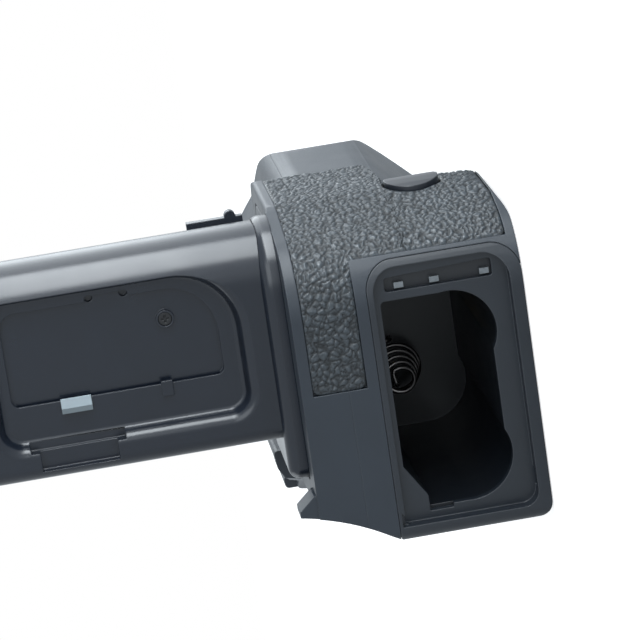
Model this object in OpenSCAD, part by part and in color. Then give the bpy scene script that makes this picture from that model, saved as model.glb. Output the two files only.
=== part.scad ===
// Battery grip for an interchangeable-lens camera, in millimetres.
// The origin is on the axis of the camera stud, where the grip meets the camera.
// X runs to the hand-grip end, Y to the front and Z up into the camera.

/* [Casing] */
// Camera stud to the hand-grip end
body_end = 70; // [68:0.5:74]
// Camera stud to the plain end
body_left = 56; // [54:0.5:64]
// Camera stud to the rear face
body_rear = 22.9; // [22.7:0.1:23.4]
// Camera stud to the front of the plain part
main_front = 34; // [33:0.25:35]
// Camera stud to the front of the hand grip
grip_front = 40.5; // [40:0.25:43]
// Height of the casing
body_h = 44.5; // [44:0.25:48]
// Wall thickness of the casing
wall = 2.4; // [2:0.1:2.5]
// Depth of the seam between the casing halves
seam = 9; // [8.8:0.1:9.4]
// Camera stud to the start of the hand-grip bulge
grip_left = 15; // [13:0.5:16]
// Camera stud to the start of the bulge below its step
grip_left_low = 29.5; // [28:0.5:30]
// Depth of the step in the bulge
grip_step = 24; // [23:0.25:25]
// Plan radius of the bulge's flank below its step
low_r = 12; // [9:0.5:12.5]
// Plan radius of the crest of the hand grip's front
nose_r = 20; // [15:0.5:22]
// Fall of the hand grip's front from its crest to the end
nose_drop = 6.5; // [5:0.25:7]
// Plan radius of the hand grip's front corner
grip_corner = 14; // [12:0.5:15]
// Plan radius of the plain end's front corner
left_corner = 24; // [16:0.5:25]
// Front edge of the flat camera face on the plain part
flat_front = 14; // [13.5:0.25:16]
// Radius of the thumb scoop
scoop_r = 46; // [45:0.25:47]
// Thickness of the grip covering
leather_t = 1.2; // [0.9:0.05:1.4]
// Plain band above the grip covering
band = 2.2; // [1.8:0.1:2.6]

/* [Camera face] */
// Thickness of the top plate
plate_t = 1.6; // [1.4:0.05:1.9]
// Groove between the top plate and the casing
plate_gap = 0.5; // [0.4:0.05:0.6]
// Height of the rear lip
lip_h = 2.4; // [1.5:0.1:3]
// Thread radius of the camera stud and the tripod socket
thread_r = 3.175; // [3.1:0.005:3.2]
// Height of the camera stud above the face
stud_h = 5.5; // [4.5:0.1:6]
// Radius of the locating pin
pin_r = 2; // [1.5:0.05:2.4]
// Height of the locating pin
pin_h = 4.5; // [3:0.1:6]

/* [Tower] */
// Near face of the tower, from the camera stud
tower_x1 = 59.5; // [59:0.25:60.5]
// Thickness of the tower
tower_t = 21.5; // [21:0.25:22.5]
// Width of the tower
tower_w = 41; // [40.7:0.1:41.3]
// Front of the tower behind the front of the hand grip
tower_inset = 1.55; // [1.4:0.05:1.8]
// Height of the tower's two halves
tower_h = 60; // [59.5:0.25:66]
// Wall thickness of the tower
tower_wall = 2; // [1.8:0.05:2.2]
// Height of the collar round the tower's foot
collar_h = 3.8; // [3.4:0.1:4.2]
// Depth of the door recess
recess_d = 3.2; // [2.8:0.1:3.4]
// Radius of the rounded rim of the door recess
recess_rim = 2.2; // [1.8:0.05:2.4]
// Depth of the pocket below the recess
pocket_d = 1.4; // [1.3:0.05:1.6]

/* [Battery chamber] */
// Depth of the battery chamber behind the bezel's plate
chamber_d = 58; // [54:0.5:58]
// Wall thickness of the chamber liner
liner_wall = 1; // [0.8:0.05:1]
// Length of the bezel
bezel_l = 8; // [7:0.25:9]
// Depth of the recess in the bezel
bezel_d = 3; // [2.5:0.1:3.5]
// Wire radius of the contact spring
wire_r = 0.45; // [0.4:0.01:0.5]
// Large radius of the contact spring
spring_r0 = 5.4; // [5:0.05:5.6]
// Small radius of the contact spring
spring_r1 = 2.5; // [2.4:0.05:2.7]
// Length of the contact spring
spring_l = 14; // [13:0.25:16]
// Number of curls of the contact spring
spring_n = 5; // [4:1:5]

/* [Controls] */
// Radius of the shutter button
shutter_r = 5.3; // [5:0.05:5.5]
// Shutter button position along the grip
shutter_x = 42; // [41.5:0.1:42.5]
// Depth of the shutter button's axis below the camera face
shutter_z = 29.2; // [28.5:0.1:30]
// Travel of the shutter button
shutter_travel = 0.8; // [0.6:0.05:0.9]
// Height of the shutter button above the casing
shutter_rise = 0.5; // [0.3:0.05:0.8]
// Gap between a button and the casing
button_gap = 0.3; // [0.25:0.05:0.4]
// Radial clearance of a sliding stem or a turning shaft
run_gap = 0.05; // [0.03:0.01:0.08]
// Radius of the rear dial
dial_r = 5.2; // [5:0.05:5.3]
// Width of the rear dial
dial_w = 5; // [4.5:0.1:5.2]
// Radius of the focus button
focus_r = 3; // [2.8:0.05:3.2]
// Travel of the focus button
focus_travel = 0.7; // [0.5:0.05:0.75]
// Radius of the lock lever
lever_r = 3.6; // [3.2:0.05:4]

/* [Attachment drive] */
// Radius of the attachment wheel
wheel_r = 12; // [11.8:0.05:12.2]
// How far the attachment wheel stands out of the rear face
wheel_out = 1.8; // [1.6:0.05:2]
// Teeth of the pinion on the attachment wheel
pinion_n = 12; // [11:1:13]
// Teeth of the gear on the stud
gear_n = 15; // [14:1:16]
// Gear module
gear_m = 1; // [0.95:0.01:1.02]
// Play between the gear teeth
gear_play = 0.3; // [0.25:0.01:0.36]

/* [Hidden] */
$fn = 64;
arc_step = 7.5;

// Heights of the layers under the camera face
deck = plate_t + 1.2;
gear_z1 = -plate_t - 2.4;
gear_z0 = gear_z1 - 3;
chassis_z1 = gear_z0 - 1.2;
chassis_z0 = chassis_z1 - 1.2;
wheel_z1 = chassis_z0 - 1.1;
wheel_z0 = wheel_z1 - 4;
floor_z = wall - body_h;

// Attachment wheel position, in mesh with the gear on the stud
wheel_y = -body_rear - wheel_out + wheel_r;
mesh_d = gear_m * (pinion_n + gear_n) / 2;
wheel_x = -sqrt(mesh_d * mesh_d - wheel_y * wheel_y);
mesh_a = atan2(wheel_y, wheel_x);
wheel_slot = sqrt(pow(wheel_r, 2) - pow(wheel_y + body_rear - wall, 2)) + 0.5;

// Locating pin position
pin_x = -36;
pin_y = -3;

// Tower faces
tower_x0 = tower_x1 - tower_t;
tower_y1 = grip_front - tower_inset;
tower_y0 = tower_y1 - tower_w;
tower_split = tower_x0 + 5;
recess_x = tower_x1 - recess_d;
pocket_x = recess_x - pocket_d;
tower_in = pocket_x - 3;
plate_split = tower_x0 - 2.8;
boss_y = tower_y1 - 14.35;
boss_z = 22.5;
tower_screw_yz = [for (y = [tower_y0 + 7, tower_y1 - 7.7], z = [9, tower_h - 8]) [y, z]];

// Battery opening and bezel
web_x1 = body_end - bezel_d;
web_x0 = web_x1 - 1.6;
bezel_x0 = body_end - bezel_l;
chamber_x = web_x1 - chamber_d;
liner_fit = 0.1;
chamber_roof = 27.1 - body_h + liner_wall;
bezel_fit = 0.1;
bezel_top = 29.6 - body_h;
bezel_front = 31.7;
strip_low = bezel_top + 2.4;
lobe_a = [15.3, 14.3 - body_h, 8.5];
lobe_b = [-8.9, 14.6 - body_h, 8.7];
spring_y = -4.2;
spring_z = 20.5 - body_h;

// Shutter button layers, from the front inward
guide_y1 = grip_front - wall - 1.2;
guide_y0 = guide_y1 - 3.9;
flange_y1 = guide_y1 - 0.8;
stem_y0 = guide_y0 - 1;
switch_y1 = stem_y0 - shutter_travel - 0.1;
board_y1 = 27;
board_t = 1.2;

// Thumb controls on the scoop
scoop_x = 48;
scoop_z = 11.6;
scoop_edge = -15.5;
scoop_y = scoop_edge - sqrt(pow(scoop_r, 2) - pow(scoop_z, 2));
dial_x = 50.5;
dial_outer = dial_w / 2 + 1.7;
plate_rear = scoop_edge + 5.3;
bar_y = plate_rear + 3.35;
dial_surf_z = -7;
dial_surf_y = scoop_y + sqrt(pow(scoop_r, 2) - pow(scoop_z - dial_surf_z, 2));
dial_sink = dial_r - 1.9;
dial_y = dial_surf_y + dial_sink * (dial_surf_y - scoop_y) / scoop_r;
dial_z = dial_surf_z + dial_sink * (dial_surf_z - scoop_z) / scoop_r;
axle_r = 1;
focus_x = 38;
focus_z = -8;
focus_y = scoop_y + sqrt(pow(scoop_r, 2) - pow(focus_x - scoop_x, 2) - pow(scoop_z - focus_z, 2));
focus_tilt = 65;
shelf_z = -8.2;
lever_x = 22.3;
lever_z = -6;

// Casing screws, each with its boss height below the seam
screw_xy = [
  [4.6 - body_left, -7],
  [4.6 - body_left, 7],
  [grip_left + 4.6, main_front - 5],
  [bezel_x0 - 4, grip_front - 8]
];
screw_head_z = -16;
socket_d = 5.2;
socket_r = 5.4;

// Outlines are lists of corners [u, v, corner radius], counter-clockwise
main_plan = [
  [-body_left, -body_rear, 8],
  [grip_left + 30, -body_rear, 0],
  [grip_left + 30, main_front, 0],
  [-body_left, main_front, left_corner]
];
main_side = [
  [-body_rear, -body_h, 3.5],
  [main_front - 18, -body_h, 4],
  [main_front, 17.5 - body_h, 8],
  [main_front, -0.37 * (main_front - flat_front), 6],
  [flat_front + 8, -0.255 * (main_front - flat_front), 4],
  [flat_front, 0, 2],
  [-body_rear, 0, 0.8]
];
function grip_plan(left, left_r) = [
  [left, -body_rear, 0],
  [body_end, -body_rear, 2.5],
  [body_end, grip_front - nose_drop, grip_corner],
  [grip_left_low + low_r + 3.6, grip_front, nose_r],
  [left, grip_front, left_r]
];
plan_up = grip_plan(grip_left, grip_front - main_front);
plan_low = grip_plan(grip_left_low, low_r);
grip_side_up = [
  [-body_rear, -grip_step, 0],
  [grip_front, -grip_step, 3],
  [grip_front, 0, 1],
  [-body_rear, 0, 0.8]
];
grip_side_low = [
  [-body_rear, -body_h, 3.5],
  [grip_front - 1, -body_h, 5],
  [grip_front, -grip_step, 0],
  [grip_front, -seam - 4, 0],
  [-body_rear, -seam - 4, 0]
];
plate_plan = [
  [5 - body_left, 5.4 - body_rear, 5],
  [28, 5.4 - body_rear, 3],
  [28, plate_rear, 3],
  [body_end - 7, plate_rear, 5],
  [body_end - 7, grip_front - 4, 13],
  [grip_left + 6, grip_front - 4, 4],
  [grip_left + 6, flat_front - 3, 3],
  [5 - body_left, flat_front - 3, 5]
];
tower_plan = [
  [tower_x0, tower_y0, 3],
  [tower_x1, tower_y0, 3],
  [tower_x1, tower_y1, 10],
  [tower_x0, tower_y1, 10]
];
collar_plan = [
  [tower_x0 - 2.4, plate_rear + 0.3, 2.4],
  [tower_x1 + 2.1, plate_rear + 0.3, 2.4],
  [tower_x1 + 2.1, tower_y1 + 0.75, 13],
  [tower_x0 - 2.4, tower_y1 + 0.75, 13]
];
recess_plan = [
  [tower_y0 + 6.95, 9.1, 3.8],
  [tower_y1 - 5.95, 9.1, 11.8],
  [tower_y1 - 5.95, tower_h - 3.8, 3.8],
  [tower_y0 + 6.95, tower_h - 3.8, 3.8]
];
pocket_plan = [
  [tower_y0 + 14.35, 12.8, 1.5],
  [tower_y1 - 8.35, 12.8, 9.5],
  [tower_y1 - 8.35, tower_h - 6.2, 3],
  [tower_y0 + 14.35, tower_h - 6.2, 1.5]
];
bezel_plan = [
  [-body_rear, -body_h, 3.5],
  [bezel_front, -body_h, 5.5],
  [bezel_front, bezel_top, 5.5],
  [-body_rear, bezel_top, 1]
];
bezel_room = [
  [3 - body_rear, 2.4 - body_h, 3],
  [bezel_front - 1.4, 2.4 - body_h, 5],
  [bezel_front - 1.4, bezel_top - 1.2, 4.5],
  [3 - body_rear, bezel_top - 1.2, 1]
];
chamber_plan = [
  [-17.6, 14.5 - body_h, 0],
  [lobe_a[0] + lobe_a[2] - 0.1, 14.5 - body_h, 0],
  [lobe_a[0] + lobe_a[2] - 0.1, 27.1 - body_h, 0.8],
  [-8.9, 27.1 - body_h, 1],
  [-15.2, 23.1 - body_h, 1],
  [-17.6, 23.1 - body_h, 0.4]
];
slot_plan = [
  [bezel_front - 6.3, 5.3 - body_h, 0.6],
  [bezel_front - 2.8, 5.3 - body_h, 0.6],
  [bezel_front - 3.5, 25.9 - body_h, 0.6],
  [bezel_front - 6.3, 25.9 - body_h, 0.6]
];

// Outline mathematics: moved-in edges and rounded corners
function xy(p) = [p[0], p[1]];
function unit(v) = v / norm(v);
function turned(v, a) = [v[0] * cos(a) - v[1] * sin(a), v[0] * sin(a) + v[1] * cos(a)];
function cross2(a, b) = a[0] * b[1] - a[1] * b[0];
function moved_corner(p, k, i) =
  let (n = len(p), a = xy(p[(k + n - 1) % n]), b = xy(p[k]), c = xy(p[(k + 1) % n]))
  let (u = unit(b - a), v = unit(c - b), d = cross2(u, v))
  b + i * (v - u) / d;
function arc_corner(a, b, c, r) =
  let (u = unit(b - a), v = unit(c - b), s = sign(cross2(u, v)), w = acos(u * v))
  let (m = s * [-u[1], u[0]], o = b - u * r * tan(w / 2) + m * r, n = ceil(w / arc_step - 0.01))
  [for (j = [0 : n]) o + turned(-m * r, s * w * j / n)];
function outline(p, i = 0) =
  let (n = len(p), q = [for (k = [0 : n - 1]) moved_corner(p, k, i)])
  [
    for (k = [0 : n - 1])
      let (a = q[(k + n - 1) % n], b = q[k], c = q[(k + 1) % n])
      let (r = p[k][2] - sign(cross2(b - a, c - b)) * i)
      each p[k][2] > 0 && r > 0.1 ? arc_corner(a, b, c, r) : [b]
  ];

// Prisms along each axis from an outline
module z_prism(p, z0, z1) {
  translate([0, 0, z0]) linear_extrude(z1 - z0) polygon(p);
}
module x_prism(p, x0, x1) {
  translate([x0, 0, 0]) rotate([90, 0, 90]) linear_extrude(x1 - x0) polygon(p);
}
module y_prism(p, y0, y1) {
  translate([0, y1, 0]) rotate([90, 0, 0]) linear_extrude(y1 - y0) polygon(p);
}
module box(a, b) {
  translate(a) cube(b - a);
}
module x_rod(x0, x1, y, z, r) {
  translate([x0, y, z]) rotate([0, 90, 0]) cylinder(h = x1 - x0, r = r);
}
module y_rod(y0, y1, x, z, r) {
  translate([x, y1, z]) rotate([90, 0, 0]) cylinder(h = y1 - y0, r = r);
}
module z_rod(z0, z1, x, y, r) {
  translate([x, y, z0]) cylinder(h = z1 - z0, r = r);
}

// Skin through rings of points, closed at both ends
module skin(rings) {
  n = len(rings[0]);
  m = len(rings);
  polyhedron(
    points = [for (r = rings) each r],
    faces = [
      [for (k = [0 : n - 1]) k],
      for (j = [0 : m - 2], k = [0 : n - 1])
        each [
          [j * n + k, (j + 1) * n + (k + 1) % n, j * n + (k + 1) % n],
          [j * n + k, (j + 1) * n + k, (j + 1) * n + (k + 1) % n]
        ],
      [for (k = [n - 1 : -1 : 0]) (m - 1) * n + k]
    ]
  );
}

// Hand-grip bulge moved in by i
module bulge(i) {
  intersection() {
    z_prism(outline(plan_up, i), -body_h, 1);
    x_prism(outline(grip_side_up, i), grip_left - 1, body_end + 1);
  }
  intersection() {
    z_prism(outline(plan_low, i), -body_h, 1);
    x_prism(outline(grip_side_low, i), grip_left - 1, body_end + 1);
  }
}

// Thumb scoop that reaches i further into the casing
module scoop(i) {
  translate([scoop_x, scoop_y, scoop_z])
    rotate([0, 90, 0])
      rotate_extrude($fn = 180) {
        intersection() {
          circle(scoop_r + i);
          translate([0, -scoop_r - i]) square(scoop_r + i);
        }
        square([scoop_r + i, body_end + 2 - scoop_x]);
      }
}

// Casing shape moved in by i
module casing(i) {
  difference() {
    union() {
      intersection() {
        z_prism(outline(main_plan, i), -body_h, 1);
        x_prism(outline(main_side, i), -body_left - 1, body_end);
      }
      bulge(i);
    }
    scoop(i);
  }
}

// Region of the grip covering, wider by g
module leather_zone(g) {
  low = 1.8 - body_h - g;
  box([grip_left - 1, main_front + 1.4 - g, low], [body_end + 1, grip_front + 1, g - band]);
  box([bezel_x0 - 4, bezel_front + 0.9 - g, low], [body_end + 1, grip_front + 1, g - band]);
  box([bezel_x0 - 4, 8.5 - g, strip_low - g], [body_end + 1, grip_front + 1, g - band]);
}

// Opening of the battery chamber, wider by g
module chamber_shape(g) {
  polygon(outline(chamber_plan, -g));
  translate(xy(lobe_a)) circle(lobe_a[2] + g);
  translate(xy(lobe_b)) circle(lobe_b[2] + g);
  translate([lobe_b[0], 6.9 - body_h - g]) square([lobe_a[0] - lobe_b[0], 10]);
}
module chamber(g, x0, x1) {
  translate([x0, 0, 0]) rotate([90, 0, 90]) linear_extrude(x1 - x0) chamber_shape(g);
}

// Place of the focus button, with local Z pointing out of the casing
module on_thumb() {
  translate([focus_x, focus_y, focus_z]) rotate([focus_tilt, 0, 0]) children();
}
module dial_slot() {
  x_rod(dial_x - dial_w / 2 - 0.4, dial_x + dial_w / 2 + 0.4, dial_y, dial_z, dial_r + 0.4);
  x_rod(dial_x - dial_outer - 0.3, dial_x + dial_outer + 0.3, dial_y, dial_z, axle_r + 1.1);
}

// Involute gear outline
function involute(a) = tan(a) * 180 / PI - a;
function tooth_half(r, n, m, pa) =
  let (rp = n * m / 2, rb = rp * cos(pa))
  90 / n - gear_play / (4 * rp) * 180 / PI + involute(pa) - involute(acos(min(1, rb / r)));
function gear_outline(n, m, phase) =
  let (rp = n * m / 2, r0 = rp - 1.2 * m, r1 = rp + 0.9 * m, pa = 25)
  [
    for (k = [0 : n - 1], s = [-1, 1], j = [0 : 4])
      let (f = s < 0 ? j / 4 : 1 - j / 4, r = r0 + (r1 - r0) * f)
      let (t = phase + 360 * k / n + s * max(0.6, tooth_half(r, n, m, pa)))
      r * [cos(t), sin(t)]
  ];

// Ribbed rim outline
function ribbed(r, n, d) = [for (k = [0 : 4 * n - 1]) (k % 4 < 2 ? r : r - d) * [cos(90 * k / n), sin(90 * k / n)]];

// Conical spring wire: a stub out of the wall, a bend, the curls, then a bend across the tip
stub = 2 * wire_r;
bend_r = 1.2;
curl_l = spring_l - stub - bend_r;
curl_steps = 8;
function spring_point(x, r, a) = [chamber_x + x, spring_y + r * cos(a), spring_z + r * sin(a)];
function curl_r(f) = spring_r0 + (spring_r1 - spring_r0) * f;
function stub_path() = [for (j = [0, 1]) spring_point(stub * j, spring_r0, 0)];
function bend_path() = [
  for (j = [1 : 4])
    let (a = 78 * j / 4)
    spring_point(stub + bend_r * sin(a), spring_r0, bend_r * (1 - cos(a)) / spring_r0 * 180 / PI)
];
bend_a = bend_r * (1 - cos(78)) / spring_r0 * 180 / PI;
tip_a = bend_a + 360 * spring_n;
function curl_path() = [
  for (j = [1 : curl_steps * spring_n])
    let (f = j / (curl_steps * spring_n))
    spring_point(stub + bend_r * sin(78) + curl_l * f, curl_r(f), bend_a + 360 * spring_n * f)
];
tip_x = stub + bend_r * sin(78) + curl_l;
tip_bend = 0.9;
function tip_place(u, v) =
  spring_point(tip_x, 0, 0) + [0, u * cos(tip_a) - v * sin(tip_a), u * sin(tip_a) + v * cos(tip_a)];
function tip_path() = [
  for (j = [1 : 4])
    let (a = 90 * j / 4)
    tip_place(spring_r1 - tip_bend * (1 - cos(a)), 0.35 + tip_bend * sin(a)),
  tip_place(0, 0.35 + tip_bend),
  tip_place(-2 * wire_r, 0.35 + tip_bend)
];
wire = [each stub_path(), each bend_path(), each curl_path(), each tip_path()];
wire_n = len(wire);
function wire_dir(k) = unit(wire[min(k + 1, wire_n - 1)] - wire[max(k - 1, 0)]);
function wire_out(k) =
  k < wire_n - 6
    ? unit([0, wire[k][1] - spring_y, wire[k][2] - spring_z])
    : unit(cross(wire_dir(k), [-1, 0, 0]) * -1);
function wire_ring(k) =
  let (t = wire_dir(k), b = unit(cross(t, wire_out(k))), n = cross(b, t))
  [for (j = [0 : 5]) wire[k] + wire_r * (n * cos(60 * j) + b * sin(60 * j))];
// Least gap between stretches of the wire that are not neighbours
wire_gap = min([
  for (i = [0 : wire_n - 1], j = [i + 5 : 1 : wire_n - 1]) norm(wire[i] - wire[j]) - 2 * wire_r
]);
echo(least_gap_of_spring = wire_gap);

// Upper casing half with the rear lip, the ridge beside the tower and the fin above the thumb scoop
module upper_shell() {
  fin = [[-16, -0.5, 0], [-10.9, -0.5, 0], [-10.9, 0.4, 0.3], [-13.6, 3.5, 0.3], [-16, 3.5, 0]];
  ridge = [
    [scoop_edge - 6.5, -1, 0], [plate_rear - 0.8, -1, 0], [plate_rear - 0.8, 4.6, 0.8],
    [scoop_edge + 0.9, 4.2, 1.5], [scoop_edge - 4.5, 1.1, 1], [scoop_edge - 6.5, -0.2, 0]
  ];
  lip = [[-body_rear, -1, 0], [2.5 - body_rear, -1, 0], [2.5 - body_rear, lip_h, 0.6], [-body_rear, lip_h, 0.9]];
  color("#2b2d31")
    difference() {
      union() {
        difference() {
          union() {
            intersection() {
              casing(0);
              box([-body_left - 1, -body_rear - 1, -seam], [body_end + 1, grip_front + 1, 1]);
            }
            x_prism(outline(lip), 10 - body_left, 22);
            difference() {
              x_prism(outline(fin), body_end - 6.5, body_end - 0.4);
              scoop(0);
            }
            difference() {
              x_prism(outline(ridge), plate_split - 5, plate_split - 0.2);
              scoop(0);
            }
          }
          intersection() {
            casing(wall);
            box([-body_left, -body_rear, -seam - 1], [body_end, grip_front, -deck]);
          }
        }
        for (p = screw_xy) z_rod(-seam, -deck, p[0], p[1], 2.4);
      }
      intersection() {
        z_prism(outline(plate_plan, -plate_gap), -plate_t, 4);
        box([-body_left, -body_rear, -plate_t - 1], [plate_split + run_gap, grip_front, 5]);
      }
      intersection() {
        z_prism(outline(plate_plan, 1.5), -deck - 1, 1);
        box([-body_left, -body_rear, -deck - 2], [plate_split - 1.5, grip_front, 2]);
      }
      difference() {
        z_prism(outline(plate_plan, -plate_gap), -1, 4);
        z_prism(outline(plate_plan), -2, 5);
        z_prism(outline(collar_plan), -3, 6);
      }
      for (p = screw_xy) z_rod(-seam - 1, -5, p[0], p[1], 1);
      difference() {
        leather_zone(0.05);
        bulge(leather_t + 0.05);
      }
      z_rod(gear_z0 - 0.4, gear_z1 + 0.4, wheel_x, wheel_y, gear_m * (pinion_n / 2 + 0.9) + 0.4);
      dial_slot();
      on_thumb() translate([0, 0, -7]) cylinder(h = 12, r = focus_r + button_gap);
      y_rod(-body_rear - 1, 1 - body_rear + wall, lever_x, lever_z, 1.2 + run_gap);
    }
}

// Lower casing half with the base, the screw bosses and the battery opening
module lower_shell() {
  color("#26282c")
    difference() {
      union() {
        difference() {
          intersection() {
            casing(0);
            box([-body_left - 1, -body_rear - 1, -body_h - 1], [body_end + 1, grip_front + 1, -seam]);
          }
          casing(wall);
        }
        intersection() {
          union() {
            for (p = screw_xy) z_rod(-body_h, -seam, p[0], p[1], 3.6);
            for (x = [-44, -18], y = [-11, 14]) z_rod(-body_h + 1, floor_z + 3.6, x, y, 2);
            z_rod(-body_h + 1, floor_z + 4, 0, 0, socket_r + 1.9);
          }
          casing(0.5);
        }
      }
      for (p = screw_xy) {
        z_rod(-body_h - 1, screw_head_z, p[0], p[1], 2.3);
        z_rod(screw_head_z - 1, 0, p[0], p[1], 1.1);
      }
      z_rod(-body_h - 1, 0, 0, 0, socket_r);
      x_prism(outline(bezel_plan, -bezel_fit), bezel_x0 - bezel_fit, body_end + 1);
      chamber(2 * liner_fit + liner_wall, chamber_x - 1.6, bezel_x0);
      box([wheel_x - wheel_slot, -body_rear - 1, wheel_z0 - 0.4], [wheel_x + wheel_slot, 0, wheel_z1 + 0.4]);
      y_rod(guide_y1 - 1, grip_front + 1, shutter_x, -shutter_z, shutter_r + button_gap);
      difference() {
        leather_zone(0.05);
        bulge(leather_t + 0.05);
      }
      dial_slot();
      on_thumb() translate([0, 0, -7]) cylinder(h = 12, r = focus_r + button_gap);
    }
}

// Plate that meets the camera
module top_plate() {
  color("#303338")
    difference() {
      union() {
        intersection() {
          z_prism(outline(plate_plan), -plate_t, 0);
          box([-body_left, -body_rear, -plate_t - 1], [plate_split, grip_front, 1]);
        }
        z_rod(-plate_t - 1.8, -plate_t, wheel_x, wheel_y, 3);
      }
      z_rod(-4, 1, 0, 0, thread_r + run_gap / 2);
      z_rod(-plate_t - 2, -1.2, wheel_x, wheel_y, 1.5 + run_gap);
      z_rod(-4, 1, pin_x, pin_y, pin_r - 0.4);
      z_rod(-plate_t / 2, 1, pin_x, pin_y, pin_r + run_gap / 2);
    }
}

// Frame of the battery opening with its inner plate
module end_bezel() {
  color("#202226")
    difference() {
      intersection() {
        x_prism(outline(bezel_plan), bezel_x0, body_end);
        casing(0);
      }
      x_prism(outline(bezel_room), web_x1, body_end + 1);
      x_prism(outline(bezel_room), bezel_x0 - 1, web_x0);
      chamber(0, web_x0 - 1, web_x1 + 1);
      box([web_x0 - 1, -18.4, 18.5 - body_h], [web_x1 + 1, -17, 23.1 - body_h]);
      x_prism(outline(slot_plan), web_x0 - 1, web_x1 + 1);
      box([web_x1, -16.6, 1.5 - body_h], [body_end - 1, -13, 3.5 - body_h]);
      translate([0, 3 - body_rear, bezel_top])
        x_prism([[3, -0.6], [0, -0.6], [0, -3.1]], body_end - 1.6, body_end + 1);
    }
}

// Battery chamber with its end wall
module chamber_liner() {
  color("#1d1e21")
    difference() {
      chamber(liner_fit + liner_wall, chamber_x - 1.5, web_x0);
      chamber(liner_fit, chamber_x, web_x0 + 1);
    }
}

// Grip covering
module grip_leather() {
  color("#17181a")
    difference() {
      intersection() {
        bulge(0);
        leather_zone(0);
      }
      bulge(leather_t);
      y_rod(main_front, grip_front + 1, shutter_x, -shutter_z, shutter_r + button_gap + 0.25);
    }
}

// Near half of the tower with the recess for the camera's battery door
module tower_shell() {
  fillet = recess_d - recess_rim;
  steps = [
    [-1, -recess_rim],
    for (a = [0 : 18 : 90]) [recess_rim * (1 - cos(a)), recess_rim * (sin(a) - 1)],
    for (a = [18 : 18 : 90]) [recess_rim + fillet * sin(a), fillet * (1 - cos(a))]
  ];
  rings = [for (k = [len(steps) - 1 : -1 : 0])
    [for (p = outline(recess_plan, steps[k][1])) [tower_x1 - steps[k][0], p[0], p[1]]]];
  color("#2a2c30")
    difference() {
      union() {
        difference() {
          intersection() {
            z_prism(outline(tower_plan), 0, tower_h);
            box([tower_split, tower_y0, 0], [tower_x1, tower_y1, tower_h]);
          }
          intersection() {
            z_prism(outline(tower_plan, tower_wall), -1, tower_h + 1);
            box([0, tower_y0, -1], [tower_in, tower_y1, tower_h + 1]);
          }
          skin(rings);
          x_prism(outline(pocket_plan), pocket_x, tower_x1);
          box([pocket_x, tower_y0 + 12.85, 13.6], [pocket_x + 0.8, tower_y0 + 15.05, tower_h - 7]);
          box([pocket_x, tower_y1 - 8.65, 29.6], [tower_x1 - 1.6, tower_y1 - 7.25, 36.3]);
          for (z = [29.6, 36.3]) x_rod(pocket_x - 1, tower_x1 - 1.6, tower_y1 - 7.95, z, 0.8);
          box([tower_x1 - 2.2, tower_y0 + 1.9, 35.1], [tower_x1 + 1, tower_y0 + 7.6, 50]);
          box([tower_x1 - 3, tower_y0 + 5.6, 33.4], [tower_x1 + 1, tower_y0 + 8.4, 51.7]);
        }
        x_rod(pocket_x - 0.5, pocket_x + 0.9, boss_y, boss_z, 1.75);
        box([recess_x - 0.2, tower_y0 + 11.95, 23], [recess_x + 0.6, tower_y0 + 14.95, 25.2]);
        for (p = tower_screw_yz) x_rod(tower_split, tower_in + 1, p[0], p[1], 2.2);
      }
      x_rod(pocket_x + 0.2, pocket_x + 2, boss_y, boss_z, 1.35);
      x_rod(tower_in + 0.6, pocket_x + 1, boss_y, boss_z, 0.9);
      for (p = tower_screw_yz) x_rod(tower_split - 1, tower_split + 6, p[0], p[1], 0.8);
    }
}

// Far half of the tower with its squared rib
module tower_back() {
  color("#2a2c30")
    difference() {
      union() {
        difference() {
          intersection() {
            z_prism(outline(tower_plan), 0, tower_h);
            box([tower_x0, tower_y0, 0], [tower_split, tower_y1, tower_h]);
          }
          intersection() {
            z_prism(outline(tower_plan, tower_wall), -1, tower_h + 1);
            box([0, tower_y0, -1], [tower_split + 1, tower_y1, tower_h + 1]);
          }
        }
        for (p = tower_screw_yz) x_rod(tower_x0 + 1, tower_split, p[0], p[1], 2.6);
        box([tower_x0, tower_y1 - 10, collar_h + 0.2], [tower_x0 + 1.8, tower_y1 - 0.4, 15]);
        x_rod(tower_x0, tower_x0 + 1.8, tower_y1 - 0.3, 6.4, 1.1);
      }
      for (p = tower_screw_yz) {
        x_rod(tower_x0 - 1, tower_x0 + 1.8, p[0], p[1], 1.8);
        x_rod(tower_x0, tower_split + 1, p[0], p[1], 0.9);
      }
    }
}

// Collar round the tower's foot with a rounded upper edge
module tower_collar() {
  round_r = 2.2;
  rings = [
    for (a = [-10, 0, 15, 30, 45, 60, 75, 90])
      let (z = a < 0 ? 0 : collar_h - round_r * (1 - sin(a)), i = a < 0 ? 0 : round_r * (1 - cos(a)))
      [for (p = outline(collar_plan, i)) [p[0], p[1], z]]
  ];
  color("#27292d")
    difference() {
      skin(rings);
      z_prism(outline(tower_plan, -0.1), -1, collar_h + 1);
    }
}

// Electrical end of the tower
module tower_cap() {
  color("#1b1c1e")
    difference() {
      union() {
        z_prism(outline(tower_plan, 0.2), tower_h, tower_h + 3);
        intersection() {
          z_prism(outline(tower_plan, tower_wall + 0.1), tower_h - 3, tower_h + 1);
          box([0, tower_y0, tower_h - 4], [tower_in - 0.1, tower_y1, tower_h + 1]);
        }
      }
      for (k = [0 : 3]) contact_slot(k, 1.6, 1);
    }
}
module contact_slot(k, d, up) {
  x = (tower_x0 + tower_x1) / 2;
  y = tower_y0 + 10 + 6 * k;
  box([x - 3.5, y - 0.7, tower_h + 3 - d], [x + 3.5, y + 0.7, tower_h + 3 + up]);
}

// Contact blades of the tower
module tower_contacts() {
  color("#c9a24a")
    for (k = [0 : 3]) contact_slot(k, 1.6, -0.4);
}

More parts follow.
